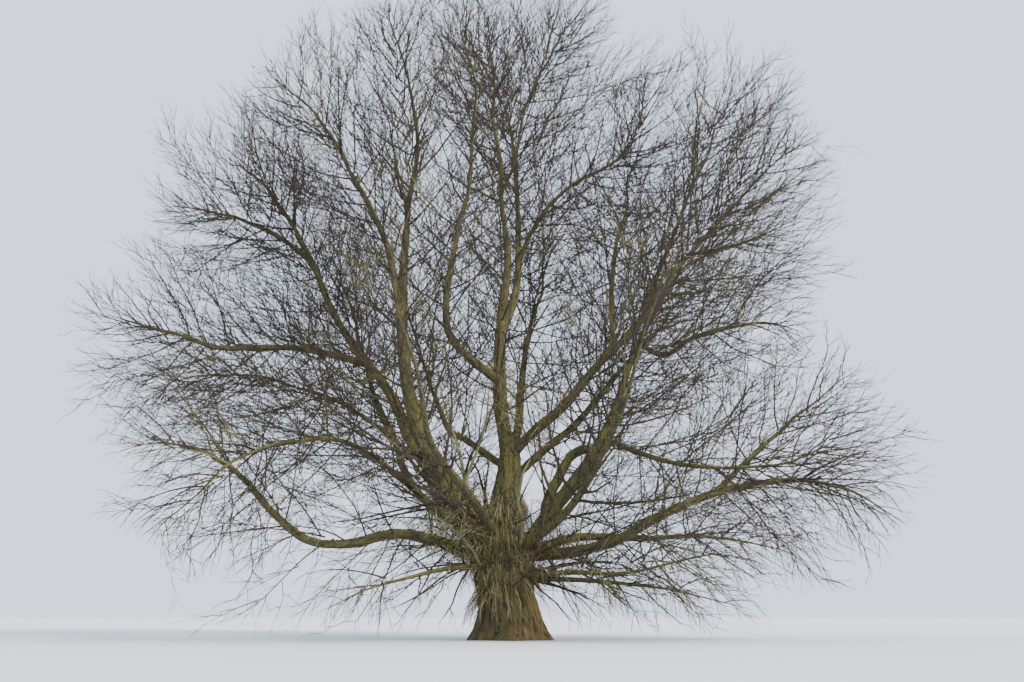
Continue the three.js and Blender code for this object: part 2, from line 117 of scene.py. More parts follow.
# A heading is 0 to the right, 90 away, 180 to the left and -90 to the front, and a rise is above level, both
# at even steps along the bough. Its twigs: the heading and rise that their stem bends to, its length, how
# wide their mass is round it, and how far they lift.
BOUGHS = {
    "left_leader": dict(
        out_of="trunk", share=0.414, long=14.3, base=0.42, tip=0.12,
        heading=[180, 210, 216, 216, 222, 180, 180, 180], rise=[37, 55, 52, 66, 80, 88, 92, 94],
        twigs=(-115, 54, 9.2, 3.6, 0.3),
    ),
    "left_top": dict(
        out_of="left_leader", share=0.7, long=6.4, base=0.145, tip=0.09,
        heading=[212, 215, 221, 212], rise=[79, 77, 56, 53],
        twigs=(216, 26, 5, 3.2, 0.35),
    ),
    "left_outer": dict(
        out_of="trunk", share=0.476, long=16.2, base=0.33, tip=0.11, taper=1.4,
        heading=[180, 170, 155, 157, 170, 166, 164, 166], rise=[41, 46, 53, 66, 49, 57, 67, 58],
        twigs=(156, 32, 6.8, 3.8, 0.4),
    ),
    "left_high": dict(
        out_of="left_outer", share=0.92, long=4.2, base=0.11, tip=0.08,
        heading=[162, 161, 170], rise=[44, 34, 22],
        twigs=(180, -2, 4.2, 3.2, 0.4),
    ),
    "left_reach": dict(
        out_of="left_outer", share=0.59, long=7.7, base=0.155, tip=0.08,
        heading=[213, 207, 199, 204, 189, 180], rise=[7, 8, 3, -13, 7, 29],
        twigs=(176, 12, 3.2, 2.8, 0.4),
    ),
    "left_back": dict(
        out_of="trunk", share=0.503, long=14, base=0.2, tip=0.09,
        heading=[158, 152, 132, 118, 127, 117, 123], rise=[23, 25, 41, 52, 45, 53, 58],
        twigs=(140, 58, 8, 4.2, 0.3),
    ),
    "left_mid": dict(
        out_of="left_back", share=0.54, long=5.5, base=0.095, tip=0.07,
        heading=[153, 162, 178, 180], rise=[43, 35, 26, 11],
        twigs=(200, -26, 7.4, 3.2, 0.3),
    ),
    "left_arch": dict(
        out_of="left_back", share=0.3, long=8.1, base=0.12, tip=0.07,
        heading=[216, 226, 247, 249, 242, 234], rise=[36, 29, 11, 4, -7, -18],
        twigs=(186, -56, 7.2, 3.2, -0.1),
    ),
    "left_low": dict(
        out_of="trunk", share=0.366, long=10.9, base=0.24, tip=0.11,
        heading=[180, 197, 214, 210, 210, 204, 180, 180, 180], rise=[22, 21, 17, 3, -14, -4, 32, 43, 52],
        twigs=(180, -14, 5.4, 3.6, 0.1),
    ),
    "inner_left": dict(
        out_of="trunk", share=0.89, long=7.3, base=0.16, tip=0.09,
        heading=[147, 125, 128, 114, 125], rise=[31, 28, 25, 51, 51],
        twigs=(112, 74, 8.8, 3.6, 0.3),
    ),
    "centre_leader": dict(
        out_of="trunk", share=0.973, long=9.7, base=0.31, tip=0.11,
        heading=[180, 180], rise=[68, 87, 90, 90, 102, 88, 80],
        twigs=(-107, 74, 9.4, 3.4, 0.3),
    ),
    "centre_left": dict(
        out_of="centre_leader", share=0.3, long=7.8, base=0.18, tip=0.09,
        heading=[221, 223, 235, 294, 360, 360], rise=[23, 26, 37, 84, 75, 84],
        twigs=(-110, 42, 9.6, 3.4, 0.3),
    ),
    "centre_twin": dict(
        out_of="centre_leader", share=0.5, long=9.5, base=0.17, tip=0.08,
        heading=[58, 60, 75, 96, 86, 125, 180], rise=[52, 59, 73, 75, 76, 87, 79],
        twigs=(142, 50, 8.2, 3.2, 0.35),
    ),
    "centre_right": dict(
        out_of="centre_twin", share=0.42, long=5.9, base=0.095, tip=0.07,
        heading=[20, 20, 0, 0, 0], rise=[68, 68, 49, 41, 18],
        twigs=(-140, 62, 6.2, 3.4, 0.35),
    ),
    "centre_top": dict(
        out_of="centre_twin", share=0.9, long=4.7, base=0.06, tip=0.05,
        heading=[-16, -13, 0, 0], rise=[85, 84, 73, 65],
        twigs=(40, 54, 4.2, 3, 0.4),
    ),
    "centre_back": dict(
        out_of="trunk", share=0.945, long=10.6, base=0.2, tip=0.09,
        heading=[62, 89, 85, 83, 73], rise=[60, 41, 41, 47, 54],
        twigs=(98, 72, 8.8, 4.2, 0.3),
    ),
    "right_inner": dict(
        out_of="trunk", share=0.966, long=9.8, base=0.21, tip=0.1,
        heading=[-10, -28, -30, -26, -12, -15, -2, 0], rise=[44, 38, 31, 58, 33, 50, 60, 51],
        twigs=(-36, 22, 7.8, 3.6, 0.35),
    ),
    "right_stem": dict(
        out_of="right_inner", share=0.58, long=6.8, base=0.12, tip=0.085,
        heading=[76, 86, 82, 75, 73], rise=[42, 56, 58, 62, 54],
        twigs=(46, 60, 7.8, 3.6, 0.3),
    ),
    "right_upper": dict(
        out_of="right_inner", share=0.67, long=7.6, base=0.11, tip=0.08,
        heading=[55, 62, 65, 45, 0, 0], rise=[28, 44, 53, 59, 71, 67],
        twigs=(46, 52, 7.8, 3.6, 0.3),
    ),
    "right_bough": dict(
        out_of="trunk", share=0.352, long=13.7, base=0.36, tip=0.1, taper=1.6,
        heading=[0, -21, -27, -13, 0, 48, 59, 47, 51, 57], rise=[41, 55, 47, 50, 64, 59, 61, 56, 50, 48],
        twigs=(-10, 4, 9.6, 4, 0.25),
    ),
    "right_reach": dict(
        out_of="right_bough", share=0.82, long=4.5, base=0.11, tip=0.08,
        heading=[-35, -49, -47, -21, -19], rise=[-50, -18, 17, 12, 11],
        twigs=(6, -26, 3, 3, -0.35),
    ),
    "right_level": dict(
        out_of="right_bough", share=0.46, long=5.1, base=0.11, tip=0.07,
        heading=[-43, -35, -29, -24], rise=[-25, -19, -19, 2],
        twigs=(16, 46, 5.8, 3, 0.3),
    ),
    "right_low": dict(
        out_of="trunk", share=0.407, long=10.3, base=0.24, tip=0.11,
        heading=[0, -14, -20, -25, -28, -21, 0, 0], rise=[11, 5, 5, 21, 30, 17, 22, -2],
        twigs=(-8, -44, 6, 3.4, -0.1),
    ),
    "right_fan": dict(
        out_of="right_low", share=0.84, long=2.8, base=0.105, tip=0.08,
        heading=[4, 4], rise=[46, 40],
        twigs=(-18, 34, 4.4, 3.2, 0.4),
    ),
    "right_moss": dict(
        out_of="trunk", share=0.434, long=8.5, base=0.21, tip=0.1,
        heading=[0, 34, 31, 32, 38], rise=[10, 16, 1, 1, 7],
        twigs=(-10, -18, 6.4, 3.2, 0.2),
    ),
    "back_right": dict(
        out_of="trunk", share=0.8, long=10.2, base=0.18, tip=0.09,
        heading=[48, 40, 46, 44], rise=[40, 34, 44, 40],
        twigs=(46, 44, 8, 4.2, 0.3),
    ),
}


def spread(values, share):
    return np.interp(share, np.linspace(0, 1, len(values)), values)


def make_limb(name, plan, parent):
    """A bough is walked out step by step from the middle of what carries it."""
    steps = max(3, math.floor(plan["long"] / plan.get("stretch", LIMB_STRETCH) + 0.5))
    share = (np.arange(steps) + 0.5) / steps
    strides = direction(spread(plan["heading"], share), spread(plan["rise"], share))
    walk = np.cumsum(strides * plan["long"] / steps, axis=0)
    root = parent.at(np.array([plan["share"]]))

    def radius(share):
        collar = COLLAR_SWELL * np.exp(-share * plan["long"] / (COLLAR_FADE * plan["base"]))
        lost = 1 - (1 - share) ** plan.get("taper", 1)
        return plan["base"] + (plan["tip"] - plan["base"]) * lost + plan["base"] * collar

    return Limb(name, np.vstack([root, root + walk]), radius)


limbs = {"trunk": trunk}
for name, plan in BOUGHS.items():
    limbs[name] = make_limb(name, plan, limbs[plan["out_of"]])

# The skin of the bole and of its forks is one: the bark runs on from the bole into each great bough with no
# seam, and with a web in each crotch. Closed cores of them all are fused, and the bark is raised on that.
FORK_VOXEL = 0.04
FORK_LONG = 1.0
FORK_LONG_PER_RADIUS = 4.5
FORK_SLIMMED = 0.12
FORK_RINGS = 24
FORK_SIDES = 24
FORK_POINT = 1e-4
FORK_CAP = 0.3
BOLE_RINGS = 73
BOLE_SIDES = 96
BOLE_SUNK = 0.06
SOFTEN_BY = 0.5
SOFTEN_TIMES = 9
GRAIN_POINTS = 25
GRAIN_APART = 7
BURR = 0.07
FURROW = 0.035
BURRED_AT, BURRED_THERE = [0, 1.2, 2.6, 4.6, 6.5, 9], [0.5, 0.8, 1.4, 1.2, 0.6, 0.3]
# How fast each part of the relief changes: across the limb, across it the other way and along it
BURRS, SMALL_BURRS = (1.7, 1.7, 1.1), (4.3, 4.3, 2.6)
RIDGES, ROUGHNESS = (8.5, 8.5, 1.3), (21, 21, 7)
SMALL_BURR = 0.5
ROUGH = 0.35


def tubes(lines, radii, sides):
    """Vertices, quads and triangles of one tube along each line, of as many rings as the line has points but
    one, and a point at its far end."""
    count, points = radii.shape
    along = unit(np.gradient(lines, axis=1))
    mean = np.abs(along.mean(axis=1))
    aside = np.eye(3)[np.argmin(mean, axis=1)][:, None, :]
    across = unit(aside - along * (along * aside).sum(-1, keepdims=True))
    over = np.cross(along, across)
    turns = np.arange(sides) * 2 * np.pi / sides
    spokes = across[:, :, None] * np.cos(turns)[:, None] + over[:, :, None] * np.sin(turns)[:, None]
    rings = lines[:, :-1, None] + spokes[:, :-1] * radii[:, :-1, None, None]
    size = (points - 1) * sides + 1
    vertices = np.concatenate([rings.reshape(count, size - 1, 3), lines[:, -1:]], axis=1).reshape(-1, 3)
    starts = np.arange(count)[:, None, None] * size
    ring = np.arange(points - 2)[:, None] * sides
    side = np.arange(sides)
    beside = (side + 1) % sides
    quads = [starts + ring + side, starts + ring + beside]
    quads += [starts + ring + sides + beside, starts + ring + sides + side]
    last = starts[:, 0] + (points - 2) * sides
    tip = np.broadcast_to(starts[:, 0] + size - 1, (count, sides))
    triangles = np.stack([last + side, last + beside, tip], -1).reshape(-1, 3)
    return vertices, np.stack(quads, -1).reshape(-1, 4), triangles


def make_mesh(name, vertices, faces):
    """A mesh from arrays of faces that have the same number of corners in each array."""
    mesh = bpy.data.meshes.new(name)
    corners = np.concatenate([some.ravel() for some in faces]).astype(np.int32)
    sizes = np.concatenate([np.full(len(some), some.shape[1]) for some in faces])
    mesh.vertices.add(len(vertices))
    mesh.vertices.foreach_set("co", vertices.astype(np.float32).ravel())
    mesh.loops.add(len(corners))
    mesh.loops.foreach_set("vertex_index", corners)
    mesh.polygons.add(len(sizes))
    mesh.polygons.foreach_set("loop_start", (np.cumsum(sizes) - sizes).astype(np.int32))
    mesh.update(calc_edges=True)
    mesh.shade_smooth()
    made = bpy.data.objects.new(name, mesh)
    bpy.context.scene.collection.objects.link(made)
    return made


def lumps(spots, scale):
    """Smooth noise from -1 to 1, which changes faster along an axis with a larger scale."""
    return np.array([noise.noise(Vector(spot)) for spot in spots * np.array(scale)])


def distances(spots, starts, ends):
    """How far each spot is from each straight stretch, and at what share of the stretch."""
    run = ends - starts
    share = (spots @ run.T - (starts * run).sum(-1)) / (run * run).sum(-1)
    share = np.clip(share, 0, 1)
    foot = starts + share[..., None] * run
    return np.linalg.norm(spots[:, None] - foot, axis=-1), share


def core(limb, share):
    """A closed tube over the first share of a limb, slimmer at first, because the fusing fills it out."""
    shares = np.linspace(0, share, FORK_RINGS)
    radii = limb.radius(shares) * (1 - FORK_SLIMMED * (1 - np.linspace(0, 1, FORK_RINGS) ** 2))
    lines = limb.at(shares)
    lines = np.vstack([lines[:1], lines, lines[-1:] + (lines[-1:] - lines[-2:-1]) * FORK_CAP])
    return lines, np.concatenate([[FORK_POINT], radii, [0]])


def fuse(vertices, faces, voxel):
    """One closed skin over solids that overlap, softened a little."""
    loose = make_mesh("cores", vertices, faces)
    shrink = loose.modifiers.new("fuse", "REMESH")
    shrink.mode = "VOXEL"
    shrink.voxel_size = voxel
    soften = loose.modifiers.new("soften", "SMOOTH")
    soften.factor = SOFTEN_BY
    soften.iterations = SOFTEN_TIMES
    mesh = loose.evaluated_get(bpy.context.evaluated_depsgraph_get()).to_mesh()
    spots = np.zeros(len(mesh.vertices) * 3)
    mesh.vertices.foreach_get("co", spots)
    outward = np.zeros(len(mesh.vertices) * 3)
    mesh.vertex_normals.foreach_get("vector", outward)
    corners = np.zeros(len(mesh.loops), int)
    mesh.loops.foreach_get("vertex_index", corners)
    bpy.data.objects.remove(loose)
    return spots.reshape(-1, 3), outward.reshape(-1, 3), corners.reshape(-1, 4)


def trunk_core():
    """The bole as a closed solid, from a little under its cut to its top."""
    shares = np.linspace(0, 1, BOLE_RINGS)
    turns = np.linspace(0, 2 * np.pi, BOLE_SIDES, endpoint=False)
    middle = trunk.at(shares)
    radii = trunk_radius(shares[:, None], turns)
    round_it = np.stack([np.cos(turns), np.sin(turns), 0 * turns], -1)
    rings = middle[:, None] + round_it * radii[..., None]
    rings[0, :, 2] -= BOLE_SUNK
    vertices = np.vstack([rings.reshape(-1, 3), middle[:1] - UP * BOLE_SUNK, middle[-1:]])
    side = np.arange(BOLE_SIDES)
    beside = (side + 1) % BOLE_SIDES
    ring = np.arange(BOLE_RINGS - 1)[:, None] * BOLE_SIDES
    over = ring + BOLE_SIDES
    quads = np.stack([ring + side, ring + beside, over + beside, over + side], -1)
    last = (BOLE_RINGS - 1) * BOLE_SIDES
    middle_of_cut = np.full(BOLE_SIDES, BOLE_RINGS * BOLE_SIDES)
    foot = np.stack([beside, side, middle_of_cut], -1)
    head = np.stack([last + side, last + beside, middle_of_cut + 1], -1)
    return vertices, quads.reshape(-1, 4), np.vstack([foot, head])


def fork_long(limb):
    return FORK_LONG + FORK_LONG_PER_RADIUS * BOUGHS[limb.name]["base"]


def join(parts):
    """Joins parts into one: their vertices, their quads and their triangles."""
    starts = np.cumsum([0] + [len(part[0]) for part in parts[:-1]])
    vertices = np.vstack([part[0] for part in parts])
    quads = np.vstack([part[1] + start for part, start in zip(parts, starts)])
    triangles = np.vstack([part[2] + start for part, start in zip(parts, starts)])
    return vertices, quads, triangles


forks = [limbs[name] for name, plan in BOUGHS.items() if plan["out_of"] == "trunk"]
cores = [trunk_core()]
for limb in forks:
    line, radii = core(limb, fork_long(limb) / limb.long)
    cores.append(tubes(line[None], radii[None], FORK_SIDES))
vertices, quads, triangles = join(cores)
skin, outward, faces = fuse(vertices, [quads, triangles], FORK_VOXEL)


def grain_of(spots, among):
    """Where each spot is on the limb that it is nearest to, as if that limb stood straight: across it,
    across it the other way, and along it."""
    best = np.full(len(spots), 1e9)
    grain = np.zeros((len(spots), 3))
    for order, limb in enumerate(among):
        line = limb.at(np.linspace(0, 1, GRAIN_POINTS))
        away, share = distances(spots, line[:-1], line[1:])
        stretch = np.argmin(away, axis=1)
        pick = np.arange(len(spots)), stretch
        along = (stretch + share[pick]) / (GRAIN_POINTS - 1)
        beyond = away[pick] - limb.radius(along)
        nearer = beyond < best
        best[nearer] = beyond[nearer]
        foot = line[stretch] + share[pick][:, None] * (line[stretch + 1] - line[stretch])
        run = unit(line[stretch + 1] - line[stretch])
        aside = np.array([0.0, 1.0, 0.0]) if abs(run.mean(0)[1]) < 0.6 else np.array([1.0, 0.0, 0.0])
        across = unit(np.cross(run, aside))
        off = spots - foot
        straight = along * limb.long + GRAIN_APART * order
        flat = [(off * across).sum(-1), (off * np.cross(run, across)).sum(-1), straight]
        grain[nearer] = np.stack(flat, -1)[nearer]
    return grain


def bark_relief(grain, burr, furrow):
    """How far the bark stands out: burrs, long furrows between ridges, and a finer roughness."""
    swell = burr * (lumps(grain, BURRS) + SMALL_BURR * lumps(grain, SMALL_BURRS))
    ridges = 1 - 2 * np.abs(lumps(grain, RIDGES))
    rough = lumps(grain, ROUGHNESS)
    return swell + furrow * (ridges - ridges.mean() + ROUGH * rough)


skin_grain = grain_of(skin, [trunk, *forks])
burred = np.interp(skin[:, 2], BURRED_AT, BURRED_THERE)
skin = skin + outward * bark_relief(skin_grain, BURR * burred, FURROW)[:, None]
skin[:, 2] = np.maximum(skin[:, 2], 0)
bole = make_mesh("bole_and_forks", skin, [faces])
BARK_GLOSS = 0.25


class Value:
    """A number, place or colour on its way through the nodes of a material."""

    def __init__(self, tree, socket):
        self.tree = tree
        self.socket = socket

    def node(self, kind, settings=None, inputs=None, output=0):
        """Adds a node: its settings are set first, then the values or links of its sockets."""
        made = self.tree.nodes.new(kind)
        for key, setting in (settings or {}).items():
            setattr(made, key, setting)
        for key, given in (inputs or {}).items():
            if isinstance(given, Value):
                self.tree.links.new(given.socket, made.inputs[key])
            else:
                made.inputs[key].default_value = given
        return Value(self.tree, made.outputs[output])

    def math(self, operation, first, second=0.0, clamped=False):
        return self.node(
            "ShaderNodeMath", {"operation": operation, "use_clamp": clamped}, {0: first, 1: second}
        )

    def __add__(self, other):
        return self.math("ADD", self, other)

    __radd__ = __add__

    def __mul__(self, other):
        return self.math("MULTIPLY", self, other)

    __rmul__ = __mul__

    def __sub__(self, other):
        return self.math("SUBTRACT", self, other)

    def __rsub__(self, other):
        return self.math("SUBTRACT", other, self)

    def clamp(self):
        return self.math("ADD", self, 0.0, clamped=True)

    def part(self, axis):
        """One of the three parts of this place or direction."""
        return self.node("ShaderNodeSeparateXYZ", {}, {0: self}, output=axis)

    def stretched(self, x, y, z):
        """This place, with its three parts made larger or smaller."""
        return self.node("ShaderNodeVectorMath", {"operation": "MULTIPLY"}, {0: self, 1: (x, y, z)})

    def cloud(self, scale, detail=2.0):
        """Noise from 0 to 1 at this place."""
        return self.node("ShaderNodeTexNoise", {}, {"Vector": self, "Scale": scale, "Detail": detail})

    def between(self, low, high):
        """0 below low, 1 above high, and even between them."""
        return ((self - low) * (1 / (high - low))).clamp()

    def choose(self, under, over):
        """Mixes two colours, from the first at 0 to the second at 1."""
        settings = {"data_type": "RGBA"}
        return self.node("ShaderNodeMix", settings, {"Factor": self, 6: under, 7: over}, output=2)


def new_material(name):
    """A material, and the place on the object that its patterns start from."""
    made = bpy.data.materials.new(name)
    made.use_nodes = True
    place = Value(made.node_tree, None).node("ShaderNodeTexCoord", output="Object")
    return made, place


def finish_material(made, colour, roughness, relief=None, depth=0.0):
    """Lays the colour, roughness and fine relief on the surface."""
    surface = made.node_tree.nodes["Principled BSDF"]
    made.node_tree.links.new(colour.socket, surface.inputs["Base Color"])
    made.node_tree.links.new(roughness.socket, surface.inputs["Roughness"])
    surface.inputs["Specular IOR Level"].default_value = BARK_GLOSS
    if relief:
        raised = relief.node("ShaderNodeBump", {}, {"Height": relief, "Distance": depth})
        made.node_tree.links.new(raised.socket, surface.inputs["Normal"])
    return made


# Furrows dark in their own colour and deepened with painted shade, dry ridges, plates worn pale, and the
# green of algae and moss. Towards the foot the bark is bare: its furrows there, darkened the same way, its
# ridges, and its ridges on the right flank, made lighter and more orange as painted sunlight.
FURROW_AND_SHADE_COLOUR = (0.01, 0.008, 0.005, 1)
RIDGE_COLOUR = (0.09, 0.079, 0.038, 1)
WORN_COLOUR = (0.15, 0.133, 0.07, 1)
MOSS_COLOUR = (0.142, 0.14, 0.027, 1)
WARM_FURROW_AND_SHADE = (0.045, 0.027, 0.017, 1)
WARM_RIDGE = (0.085, 0.053, 0.032, 1)
PAINTED_SUNLIT_RIDGE = (0.24, 0.132, 0.06, 1)
RIDGE_LONG = 0.16
PLATE_LONG = 0.34
PLATES_PER_RIDGE = 3.1
GREENED = 0.85
WARMED = 0.85


def bark_material(name, furrow_scale, depth, foot_height):
    """Grey-brown ridges over dark furrows deepened with painted shade, green with algae and moss where they
    look up, and bare and warm towards the foot, with painted sunlight on the ridges of its right flank."""
    made, place = new_material(name)
    grain = place.node("ShaderNodeAttribute", {"attribute_name": "grain"}, output="Vector")
    look = place.node("ShaderNodeNewGeometry", output="Normal")
    facing_up, to_side, height = look.part("Z"), look.part("X"), place.part("Z")
    ridges = grain.stretched(1, 1, RIDGE_LONG).cloud(furrow_scale, 6.0)
    plates = grain.stretched(1, 1, PLATE_LONG).cloud(furrow_scale * PLATES_PER_RIDGE, 4.0)
    # Painted shade: the furrow colour is the bark's own darker furrow made near-black, where shade falls in
    # them.
    bare = ridges.between(0.34, 0.66).choose(FURROW_AND_SHADE_COLOUR, RIDGE_COLOUR)
    worn = plates.between(0.45, 0.7).choose(bare, WORN_COLOUR)
    patches = place.cloud(0.9, 4.0).between(0.3, 0.52)
    green = (facing_up.between(-0.5, 0.6) * patches * ridges.between(0.3, 0.55)).clamp()
    mossy = (green * GREENED).choose(worn, MOSS_COLOUR)
    warmth = (1 - height.between(foot_height * 0.2, foot_height)) * place.cloud(1.7, 3.0).between(0.35, 0.6)
    # Painted sunlight: ridges facing right, towards the light, get a lighter and more orange copy of the
    # warm ridge colour.
    painted_sun_flank = to_side.between(0.25, 0.85)
    warm = ridges.between(0.38, 0.6).choose(WARM_FURROW_AND_SHADE, painted_sun_flank.choose(WARM_RIDGE, PAINTED_SUNLIT_RIDGE))
    colour = (warmth * WARMED).choose(mossy, warm)
    roughness = 0.98 - 0.16 * plates
    return finish_material(made, colour, roughness, ridges + plates * 0.4, depth)


def set_grain(made, grain):
    """Keeps on a mesh where each of its points is along the grain of the bark."""
    kept = made.data.attributes.new("grain", "FLOAT_VECTOR", "POINT")
    kept.data.foreach_set("vector", grain.astype(np.float32).ravel())


old_bark = bark_material("old_bark", furrow_scale=7.0, depth=0.05, foot_height=3.4)
set_grain(bole, skin_grain)
bole.data.materials.append(old_bark)
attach(bole, "root")
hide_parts("trunk")

# The boughs carry the same bark, thinner and smoother towards their tips. Each is one tapering tube from its
# collar to where it goes over into twigs, with ridges along it and knots where small branches were shed.
BOUGH_SIDES = 20
BOUGH_RING = 0.11
LEAST_RINGS = 8
BOUGH_FURROW, BOUGH_FURROW_MOST = 0.12, 0.022
KNOT, SMALL_KNOT = 0.16, 0.6
BOUGH_RIDGE = 0.6
KNOTS, SMALL_KNOTS = (2.1, 2.1, 1.3), (5.5, 5.5, 3.4)
BOUGH_RIDGES = (11, 11, 1.7)
# The girth of a bough under the skin of the forks, beside its own, at shares of how far that skin runs
UNDER_SKIN, GIRTH_UNDER = (0, 0.55, 1), (0.7, 0.84, 1)


def bough_skin(limb):
    """Vertices, quads, triangles and grain of a limb, with its bark raised. Where the skin of the bole and
    its forks runs on over it, it keeps under that."""
    points = max(LEAST_RINGS, round(limb.long / BOUGH_RING)) + 1
    shares = np.linspace(0, 1, points)
    radii = limb.radius(shares)
    if limb in forks:
        under = [share * fork_long(limb) for share in UNDER_SKIN]
        radii = radii * np.interp(shares * limb.long, under, GIRTH_UNDER)
    radii[-1] = 0
    vertices, quads, triangles = tubes(limb.at(shares)[None], radii[None], BOUGH_SIDES)
    turns = np.tile(np.arange(BOUGH_SIDES) * 2 * np.pi / BOUGH_SIDES, points - 1)
    share = np.repeat(shares[:-1], BOUGH_SIDES)
    girth = limb.radius(share)
    start = sum(map(ord, limb.name))
    grain = np.stack([girth * np.cos(turns), girth * np.sin(turns), share * limb.long + start], -1)
    swell = KNOT * girth * (lumps(grain, KNOTS) + SMALL_KNOT * lumps(grain, SMALL_KNOTS))
    ridges = BOUGH_RIDGE - 2 * np.abs(lumps(grain, BOUGH_RIDGES))
    middle = np.repeat(limb.at(shares[:-1]), BOUGH_SIDES, axis=0)
    out = unit(vertices[:-1] - middle)
    rise = swell + np.minimum(girth * BOUGH_FURROW, BOUGH_FURROW_MOST) * ridges
    vertices[:-1] += out * rise[:, None]
    return vertices, quads, triangles, np.vstack([grain, grain[-1:]])


# One level bough leaves the great right bough low down. It climbs beside it, turns over behind it at an old
# wound like an elbow, and only there sets off level to the right.
ELBOW = dict(
    share=0.19, long=3.7, base=0.2, tip=0.17, stretch=0.5,
    heading=[0, 0, 0, 0, -5, -20, -35, -45],
    rise=[92, 80, 62, 58, 72, 38, 6, -14],
)
elbow = make_limb("right_level_foot", ELBOW, limbs["right_bough"])
skins = [bough_skin(limb) for limb in [*list(limbs.values())[1:], elbow]]
vertices, quads, triangles = join(skins)
boughs = make_mesh("boughs", vertices, [quads, triangles])
set_grain(boughs, np.vstack([part[3] for part in skins]))
young_bark = bark_material("bough_bark", furrow_scale=11.0, depth=0.03, foot_height=0.5)
boughs.data.materials.append(young_bark)
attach(boughs, "root")
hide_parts(*BOUGHS)

# The twigs grow in masses, each on one stem: a stem carries on from the tip of each bough, and seven more
# leave the bole itself. They branch by one rule, turned on round what bears them, and keep to a space of
# their own, off the ground and clear of every limb.
RULE = [
    dict(least=3, per_metre=0.4, first=0.08, last=0.96, reach=1.1, shrink=0.35, stand=46),
    dict(least=2, per_metre=0.2, first=0.2, last=0.9, reach=0.5, shrink=0.4, stand=42),
]
# On the bole: the share of its height, girth, heading and rise at both ends, length, width, and lift
TRUNK_TWIGS = {
    "front_left": (0.5, 0.2, [-116, -100], [18, 68], 15, 4.6, 0.35),
    "front_right": (0.42, 0.2, [-54, -66], [22, 62], 15, 4.6, 0.35),
    "back_left": (0.42, 0.2, [110, 118], [18, 32], 14, 4.6, 0.3),
    "left_sweep": (0.38, 0.13, [-128, -136], [2, -24], 9, 2.8, -0.1),
    "right_sweep": (0.34, 0.14, [-50, -30], [0, 6], 10.4, 2.8, 0.1),
    "right_droop": (0.31, 0.13, [24, 0], [4, -16], 10.2, 2.4, 0),
    "shoots_front": (0.12, 0.06, [-92, -94], [40, 94], 6.6, 2, 0.8),
}
TURN_BETWEEN = 137.5
TWIG_TO_PARENT = 0.5
TWIG_LEAST = 0.008
SLENDER = 0.016
SCATTER = dict(place=0.8, turn=36, stand=24, lift=0.3, long=0.4)
TURN_BY_SEED = 77
SHORTER = [1, 0.7, 0.45]
KEEP_CLEAR = 0.08
SPOTS_AT_ONCE = 6000
KEEP_OFF_GROUND = 0.12
TWIG_TESTS = 6
STEM_TESTS = 4
PAST_BOX = 0.2
# The masses that stand in front of others, or behind them, are thinner: their share of the twigs
THINNER = dict(
    front_left=0.35, front_right=0.35, back_left=0.6, centre_back=0.5, left_back=0.55, back_right=0.4,
    inner_left=0.5, centre_leader=0.6, centre_left=0.6, right_bough=0.55, shoots_front=0.5, right_stem=0.8,
    right_upper=0.8, left_low=0.6, left_sweep=0.7, left_reach=0.8,
)
# Twigs whose rule says so hang below this height
HANG_BELOW = 9.0
# How crooked twigs are, beside their length: two waves, each with its number of turns and its size
CROOKED = [(1.1, 0.02), (2.3, 0.009)]
CROOKED_DRAWS = 50
SUNK_IN_TIP = 0.02
LOT_PACE, LOT_SIZE = (12.9898, 78.233), 43758.5453
NEXT_SEED, SEEDS = (31, 7, 3), 10007


def chance(seed, draw):
    """A number from 0 to 1 that looks drawn by lot, and is the same each time for the same seed."""
    wave = np.sin(seed * LOT_PACE[0] + draw * LOT_PACE[1]) * LOT_SIZE
    return wave - np.floor(wave)


class Twigs:
    """Many twigs side by side. Each leaves its root in one direction, bends evenly and ends in another."""

    def __init__(self, **facts):
        self.facts = facts
        for name, values in facts.items():
            setattr(self, name, values)

    def pick(self, which):
        return Twigs(**{name: values[which] for name, values in self.facts.items()})

    def but(self, **changed):
        return Twigs(**{**self.facts, **changed})

    def at(self, share):
        """The points of every twig at each share of its length: a row for each twig."""
        share = np.broadcast_to(share, (len(self.long), np.shape(share)[-1]))
        t = share[..., None]
        bend = t * (1 - t) * self.start[:, None] + t**2 / 2 * (self.start + self.end)[:, None]
        crook = 0
        for wave, (pace, size) in enumerate(CROOKED):
            lots = [chance(self.seed, CROOKED_DRAWS + 2 * draw + wave) for draw in range(3)]
            phase = 2 * np.pi * lots[0][:, None, None]
            way = direction(360 * lots[1], 70 * lots[2] - 35)
            swing = np.sin(2 * np.pi * pace * t + phase) - np.sin(phase)
            crook = crook + size * swing * way[:, None]
        return self.root[:, None] + self.long[:, None, None] * (bend + crook)


def together(groups):
    return Twigs(**{name: np.concatenate([g.facts[name] for g in groups]) for name in groups[0].facts})


